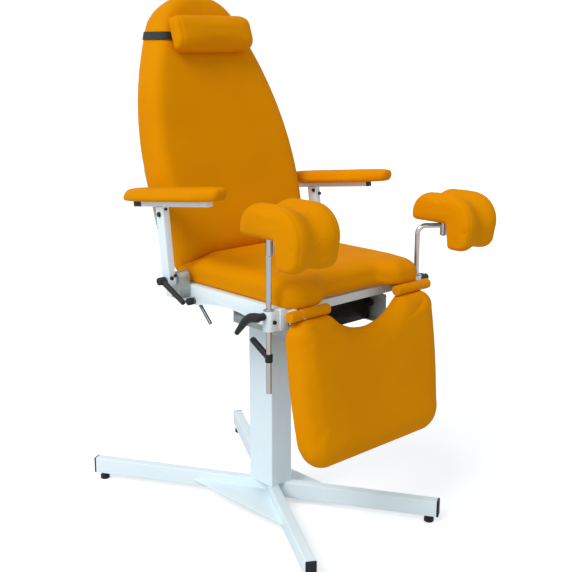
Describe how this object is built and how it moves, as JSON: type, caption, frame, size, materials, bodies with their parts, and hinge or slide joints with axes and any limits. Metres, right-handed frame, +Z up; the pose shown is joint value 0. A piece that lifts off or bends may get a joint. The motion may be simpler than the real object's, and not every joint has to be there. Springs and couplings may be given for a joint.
{
  "type": "gynecological chair",
  "caption": "Upholstered examination chair on a cross foot with reclining back, lifting leg panel, folding armrests, adjustable knee holders and a pull-out drain tray.",
  "frame": {"origin": "on the floor under the column axis", "axes": "+Z up, the chair faces -Y, the sitter's right is -X"},
  "size_m": [0.7791, 1.0314, 1.4968],
  "materials": {
    "powder_coat": "pale blue-white satin powder coat",
    "grey_steel": "grey painted and plated steel",
    "chrome": "bright chrome plate",
    "black_plastic": "fine-grained black moulding",
    "tray_plastic": "smooth black plastic",
    "strap_webbing": "black woven elastic",
    "plywood": "birch plywood under black cloth",
    "orange_vinyl": "orange coated upholstery cloth, satin"
  },
  "bodies": {
    "chair": {"base_through_tube": "powder_coat", "base_half_arms": "powder_coat", "base_gussets": "powder_coat", "base_end_caps": "black_plastic", "column": "powder_coat", "right_seat_rail": "powder_coat", "left_seat_rail": "powder_coat", "seat_cross_frame": "grey_steel", "seat_board": "plywood", "seat_cushion": "orange_vinyl", "hinge_lugs": "powder_coat", "spring_bracket": "grey_steel", "tray_runners": "grey_steel", "right_armrest_bracket": "grey_steel", "left_armrest_bracket": "grey_steel", "right_holder_clamp": "powder_coat", "left_holder_clamp": "powder_coat"},
    "right_front_foot": {"right_front_foot": "black_plastic"},
    "left_front_foot": {"left_front_foot": "black_plastic"},
    "right_rear_foot": {"right_rear_foot": "black_plastic"},
    "left_rear_foot": {"left_rear_foot": "black_plastic"},
    "backrest": {"right_back_arm": "grey_steel", "left_back_arm": "grey_steel", "back_cross_bars": "grey_steel", "back_board": "plywood", "back_cushion": "orange_vinyl"},
    "headrest": {"headrest_cushion": "orange_vinyl", "headrest_strap": "strap_webbing"},
    "legrest": {"legrest_arms": "grey_steel", "legrest_cross_bar": "grey_steel", "legrest_board": "plywood", "legrest_cushion": "orange_vinyl", "legrest_hinge_rolls": "orange_vinyl"},
    "back_spring_cylinder": {"back_spring_cylinder": "grey_steel"},
    "back_spring_rod": {"back_spring_rod": "chrome"},
    "leg_spring_cylinder": {"leg_spring_cylinder": "grey_steel"},
    "leg_spring_rod": {"leg_spring_rod": "chrome"},
    "right_armrest": {"right_armrest_frame": "powder_coat", "right_armrest_caps": "black_plastic", "right_armrest_pad": "orange_vinyl"},
    "right_armrest_lever": {"right_armrest_lever": "black_plastic"},
    "left_armrest": {"left_armrest_frame": "powder_coat", "left_armrest_caps": "black_plastic", "left_armrest_pad": "orange_vinyl"},
    "left_armrest_lever": {"left_armrest_lever": "black_plastic"},
    "right_holder_bush": {"right_holder_bush": "black_plastic"},
    "right_holder": {"right_holder_rod": "chrome", "right_holder_grip": "black_plastic"},
    "right_knee_pad": {"right_knee_pad_mount": "grey_steel", "right_knee_pad": "orange_vinyl"},
    "right_clamp_lever": {"right_clamp_lever": "black_plastic"},
    "left_holder_bush": {"left_holder_bush": "black_plastic"},
    "left_holder": {"left_holder_rod": "chrome", "left_holder_grip": "black_plastic"},
    "left_knee_pad": {"left_knee_pad_mount": "grey_steel", "left_knee_pad": "orange_vinyl"},
    "left_clamp_lever": {"left_clamp_lever": "black_plastic"},
    "back_release_lever": {"back_release_lever": "chrome"},
    "leg_release_lever": {"leg_release_lever": "grey_steel"},
    "drain_tray": {"drain_tray": "tray_plastic"}
  },
  "joints": [
    {"name": "right_front_foot_turn", "type": "hinge", "parent": "chair", "child": "right_front_foot", "pos_m": [-0.2468, -0.41983, 0], "axis": [0, 0, 1], "continuous": true},
    {"name": "left_front_foot_turn", "type": "hinge", "parent": "chair", "child": "left_front_foot", "pos_m": [0.2468, -0.41983, 0], "axis": [0, 0, 1], "continuous": true},
    {"name": "right_rear_foot_turn", "type": "hinge", "parent": "chair", "child": "right_rear_foot", "pos_m": [-0.2838, 0.48276, 0], "axis": [0, 0, 1], "continuous": true},
    {"name": "left_rear_foot_turn", "type": "hinge", "parent": "chair", "child": "left_rear_foot", "pos_m": [0.2838, 0.48276, 0], "axis": [0, 0, 1], "continuous": true},
    {"name": "back_recline", "type": "hinge", "parent": "chair", "child": "backrest", "pos_m": [0, 0.122, 0.706], "axis": [-1, 0, 0], "range_deg": [0, 71]},
    {"name": "headrest_height", "type": "slide", "parent": "backrest", "child": "headrest", "axis": [0, 0.3256, 0.9455], "range_m": [0, 0.08]},
    {"name": "legrest_lift", "type": "hinge", "parent": "chair", "child": "legrest", "pos_m": [0, -0.366, 0.707], "axis": [-1, 0, 0], "range_deg": [0, 80]},
    {"name": "back_spring_swing", "type": "hinge", "parent": "chair", "child": "back_spring_cylinder", "pos_m": [-0.19, -0.045, 0.668], "axis": [1, 0, 0], "range_deg": [-0.69, 0.5]},
    {"name": "back_spring_stroke", "type": "slide", "parent": "back_spring_cylinder", "child": "back_spring_rod", "axis": [0, 0.9999, -0.0152], "range_m": [-0.05192, 0.001]},
    {"name": "leg_spring_swing", "type": "hinge", "parent": "chair", "child": "leg_spring_cylinder", "pos_m": [-0.19, -0.085, 0.668], "axis": [1, 0, 0], "range_deg": [-0.5, 4.04]},
    {"name": "leg_spring_stroke", "type": "slide", "parent": "leg_spring_cylinder", "child": "leg_spring_rod", "axis": [0, -0.9993, 0.0364], "range_m": [-0.001, 0.05454]},
    {"name": "right_armrest_fold", "type": "hinge", "parent": "chair", "child": "right_armrest", "pos_m": [-0.32, 0.055, 0.739], "axis": [-1, 0, 0], "range_deg": [0, 85]},
    {"name": "right_armrest_lever_turn", "type": "hinge", "parent": "chair", "child": "right_armrest_lever", "pos_m": [-0.32, 0.055, 0.739], "axis": [1, 0, 0], "range_deg": [0, 60]},
    {"name": "left_armrest_fold", "type": "hinge", "parent": "chair", "child": "left_armrest", "pos_m": [0.32, 0.125, 0.739], "axis": [-1, 0, 0], "range_deg": [0, 85]},
    {"name": "left_armrest_lever_turn", "type": "hinge", "parent": "chair", "child": "left_armrest_lever", "pos_m": [0.32, 0.125, 0.739], "axis": [1, 0, 0], "range_deg": [0, 60]},
    {"name": "right_holder_swivel", "type": "hinge", "parent": "chair", "child": "right_holder_bush", "pos_m": [-0.285, -0.311, 0.72], "axis": [0, 0, -1], "range_deg": [-39, 51]},
    {"name": "right_holder_height", "type": "slide", "parent": "right_holder_bush", "child": "right_holder", "axis": [0, 0, 1], "range_m": [-0.058, 0.025]},
    {"name": "right_knee_pad_turn", "type": "hinge", "parent": "right_holder", "child": "right_knee_pad", "pos_m": [-0.3322, -0.36929, 0.904], "axis": [0, 0, -1], "range_deg": [-45, 45]},
    {"name": "right_clamp_lever_turn", "type": "hinge", "parent": "chair", "child": "right_clamp_lever", "pos_m": [-0.285, -0.311, 0.706], "axis": [-1, 0, 0], "range_deg": [0, 60]},
    {"name": "left_holder_swivel", "type": "hinge", "parent": "chair", "child": "left_holder_bush", "pos_m": [0.285, -0.311, 0.72], "axis": [0, 0, 1], "range_deg": [-53, 37]},
    {"name": "left_holder_height", "type": "slide", "parent": "left_holder_bush", "child": "left_holder", "axis": [0, 0, 1], "range_m": [-0.016, 0.067]},
    {"name": "left_knee_pad_turn", "type": "hinge", "parent": "left_holder", "child": "left_knee_pad", "pos_m": [0.3449, -0.35614, 0.862], "axis": [0, 0, 1], "range_deg": [-45, 45]},
    {"name": "left_clamp_lever_turn", "type": "hinge", "parent": "chair", "child": "left_clamp_lever", "pos_m": [0.285, -0.311, 0.706], "axis": [-1, 0, 0], "range_deg": [0, 60]},
    {"name": "back_release_pull", "type": "hinge", "parent": "chair", "child": "back_release_lever", "pos_m": [-0.25, 0.022, 0.676], "axis": [-1, 0, 0], "range_deg": [0, 15], "stiffness_Nm_per_rad": 0.8, "springref_deg": -8.59},
    {"name": "leg_release_pull", "type": "hinge", "parent": "chair", "child": "leg_release_lever", "pos_m": [-0.25, -0.24, 0.675], "axis": [1, 0, 0], "range_deg": [0, 15], "stiffness_Nm_per_rad": 0.8, "springref_deg": -8.59},
    {"name": "tray_pull", "type": "slide", "parent": "chair", "child": "drain_tray", "axis": [0, -1, 0], "range_m": [0, 0.05]}
  ],
  "couplings": [
    {"joint": "back_spring_swing", "follows": "back_recline", "ratio": -0.002693},
    {"joint": "back_spring_stroke", "follows": "back_recline", "m_per_rad": -0.041091},
    {"joint": "leg_spring_swing", "follows": "legrest_lift", "ratio": 0.044278},
    {"joint": "leg_spring_stroke", "follows": "legrest_lift", "m_per_rad": 0.038345}
  ]
}
